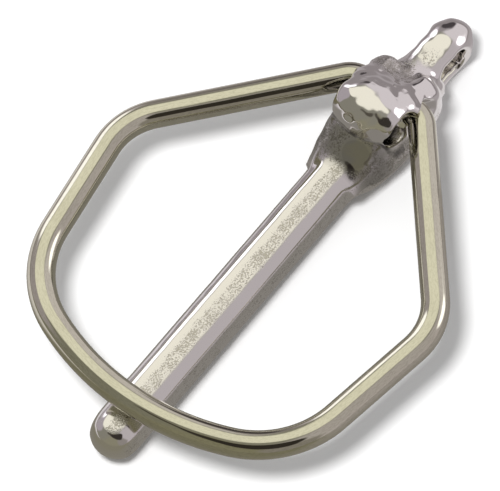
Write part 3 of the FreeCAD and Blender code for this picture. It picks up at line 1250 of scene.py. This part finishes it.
@dataclass
class Studio:
    """Pale floor, soft surroundings, one soft key light and the camera."""

    aim: Place = (-29.6, 4.66, 0.0)
    distance: float = 781.25
    azimuth: float = -52.902
    elevation: float = 61.443
    lens: float = 360.0
    sensor: float = 36.0
    clip: Point = (0.01, 20.0)
    key_size: float = 0.16
    key_power: float = 2.9
    key_distance: float = 0.6
    key_heading: Place = (-0.34, 0.03, 1.0)
    brightest: Place = (0.15, 0.75, 0.64)
    soft_light: float = 0.36
    floor_half: float = 2.5
    floor_middle: Place = (-0.033, 0.0, 0.0)
    floor_tone: Colour = (0.42, 0.385, 0.40)
    floor_sides: tuple[FloorSide, ...] = (
        FloorSide((-1.0, 0.1, 0.0), 0.0, 0.04, (0.24, 0.225, 0.17)),
        FloorSide((0.1, 1.0, 0.0), 0.02, 0.045, (0.80, 0.76, 0.79), near_only=True),
        FloorSide((0.9, 0.6, 0.0), 0.05, 0.08, (0.30, 0.27, 0.28)),
    )
    floor_spots: tuple[FloorSpot, ...] = (
        # painted shadow: the floor's reflection darkens round the ring's middle, where the ring shades the
        # floor
        FloorSpot((-0.033, 0.0, 0.0), 0.022, 0.060, (0.26, 0.245, 0.225)),
        # painted highlight: a lighter patch of the floor's reflection beside the eye, which the head's near
        # face shows
        FloorSpot((0.013, -0.011, 0.0), 0.007, 0.013, (0.74, 0.71, 0.72)),
    )
    ambient: Colour = (0.30, 0.29, 0.25)
    panels: tuple[Panel, ...] = (
        Panel(195, 82, 50, 12, (0.27, 0.255, 0.185)),
        Panel(130, 60, 30, 20, (0.25, 0.24, 0.20)),
        Panel(300, 80, 42, 10, (0.55, 0.50, 0.53)),
        Panel(275, 50, 22, 14, (0.52, 0.48, 0.50)),
        Panel(240, 76, 18, 8, (0.29, 0.265, 0.25)),
        Panel(106, 72, 22, 8, (0.42, 0.38, 0.41)),
        Panel(0, 80, 34, 14, (0.72, 0.67, 0.70)),
        Panel(40, 80, 16, 8, (0.31, 0.28, 0.29)),
        Panel(66, 80, 12, 8, (0.60, 0.55, 0.60)),
        Panel(75, 26, 26, 7, (0.98, 0.95, 0.83)),
        Panel(20, 16, 21, 7, (0.98, 0.95, 0.83)),
        Panel(68, 72, 11, 5, (1.6, 1.56, 1.66)),
        Panel(-36, 70, 9, 7, (2.0, 1.97, 2.06)),
        Panel(32, 80, 9, 5, (0.07, 0.06, 0.065)),
        Panel(168, 39, 5, 3, (0.09, 0.08, 0.065)),
        Panel(188, 41, 7, 4, (0.05, 0.042, 0.036)),
        Panel(203, 43, 11, 4, (0.04, 0.034, 0.029)),
        Panel(218, 44, 14, 4, (0.04, 0.034, 0.029)),
        Panel(233, 45, 14, 4, (0.04, 0.034, 0.029)),
    )

    def surroundings(self) -> None:
        """Build the world: patches over an even tone for reflections, and a plain soft light."""
        world = bpy.data.worlds.new("studio")
        g = empty_graph(world)
        ray = g.node("ShaderNodeTexCoord").outputs["Generated"]
        colour = (*self.ambient, 1)
        for panel in self.panels:
            outer = math.cos(math.radians(panel.reach + panel.edge))
            inner = math.cos(math.radians(panel.reach))
            inside = g.remap(g.measure("DOT_PRODUCT", ray, panel.heading()), outer, inner)
            colour = g.mix(inside, colour, (*panel.colour, 1))
        lean = g.measure("DOT_PRODUCT", ray, self.brightest)
        soft = g.math("MULTIPLY_ADD", lean, self.soft_light, self.soft_light, clamp=True)
        path = g.node("ShaderNodeLightPath")
        colour = g.mix(path.outputs["Is Diffuse Ray"], colour, soft)
        shade = g.node("ShaderNodeBackground", {"Color": colour, "Strength": 1.0})
        out = g.node("ShaderNodeOutputWorld")
        g.put(out.inputs["Surface"], shade.outputs[0])
        bpy.context.scene.world = world

    def _floor_reflection(self, g: Graph) -> bpy.types.NodeSocket:
        """Build the tones that the floor shows in the metal.

        Args:
            g: The floor material's graph.

        Returns:
            The colour.
        """
        place = g.node("ShaderNodeTexCoord").outputs["Object"]
        off_middle = g.vector("SUBTRACT", place, self.floor_middle)
        nearby = g.remap(g.measure("LENGTH", off_middle), 0.16, 0.10)
        seen = (*self.floor_tone, 1)
        for side in self.floor_sides:
            along = g.measure("DOT_PRODUCT", off_middle, side.heading)
            limit = nearby if side.near_only else 1.0
            reached = g.math("MULTIPLY", limit, g.remap(along, side.start, side.end))
            seen = g.mix(reached, seen, (*side.colour, 1))
        for spot in self.floor_spots:
            off_spot = g.measure("LENGTH", g.vector("SUBTRACT", place, spot.centre))
            seen = g.mix(g.remap(off_spot, spot.inner, spot.outer), (*spot.colour, 1), seen)
        return seen

    def floor(self) -> None:
        """Build the floor: white to look at, a middling tone in the metal's reflections."""
        size = self.floor_half
        mesh = bpy.data.meshes.new("floor")
        corners = [(-size, -size, 0), (size, -size, 0), (size, size, 0), (-size, size, 0)]
        mesh.from_pydata(corners, [], [(0, 1, 2, 3)])
        material = bpy.data.materials.new("floor_paper")
        g = empty_graph(material)
        paper = g.node("ShaderNodeBsdfDiffuse", {"Color": (0.9, 0.9, 0.9, 1)})
        glow = g.node("ShaderNodeEmission", {"Color": self._floor_reflection(g), "Strength": 1.0})
        glossy = g.node("ShaderNodeLightPath").outputs["Is Glossy Ray"]
        mixed = g.node("ShaderNodeMixShader", {0: glossy, 1: paper.outputs[0], 2: glow.outputs[0]})
        out = g.node("ShaderNodeOutputMaterial")
        g.put(out.inputs["Surface"], mixed.outputs[0])
        mesh.materials.append(material)
        new_object("floor", mesh)

    def key_light(self) -> None:
        """Build the soft light that casts the shadow beside the wire."""
        light = bpy.data.lights.new("key", "AREA")
        light.shape, light.size, light.energy = "DISK", self.key_size, self.key_power
        made = new_object("key", light)
        heading = Vector(self.key_heading).normalized()
        made.location = Vector(self.aim) * MM + heading * self.key_distance
        made.rotation_euler = heading.to_track_quat("Z", "Y").to_euler()
        made.visible_glossy = False

    def camera(self) -> None:
        """Place the camera on its line of sight."""
        lens = bpy.data.cameras.new("camera")
        lens.lens, lens.sensor_width, lens.sensor_fit = self.lens, self.sensor, "HORIZONTAL"
        lens.clip_start, lens.clip_end = self.clip
        made = new_object("camera", lens)
        a, e = math.radians(self.azimuth), math.radians(self.elevation)
        back = Vector((math.sin(a) * math.cos(e), -math.cos(a) * math.cos(e), math.sin(e)))
        made.location = Vector(self.aim) * MM + back * self.distance * MM
        made.rotation_euler = back.to_track_quat("Z", "Y").to_euler()
        bpy.context.scene.camera = made

    def build(self) -> None:
        """Build everything round the object."""
        self.surroundings()
        self.floor()
        self.key_light()
        self.camera()
        bpy.context.scene.view_settings.view_transform = "Standard"


def main() -> None:
    """Build the object round the frame, then the studio; the casting logs its extent and the ring its face
    count.
    """
    logging.basicConfig(level=logging.INFO, format="%(name)s %(message)s")
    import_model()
    effects = Effects()
    cast = CastFinish(Slot.CAST.value, bright=(0.83, 0.81, 0.785), dull=(0.27, 0.25, 0.19), roughness=0.07)
    wire = WireFinish(Slot.WIRE.value, bright=(0.67, 0.655, 0.535), dull=(0.42, 0.40, 0.315), roughness=0.06)
    pin = PinBody()
    pin.dress(pin.build(), cast.build(effects))
    ring = WireRing()
    ring.dress(ring.build(wire.build(effects)))
    Studio().build()


if __name__ == "__main__":
    main()
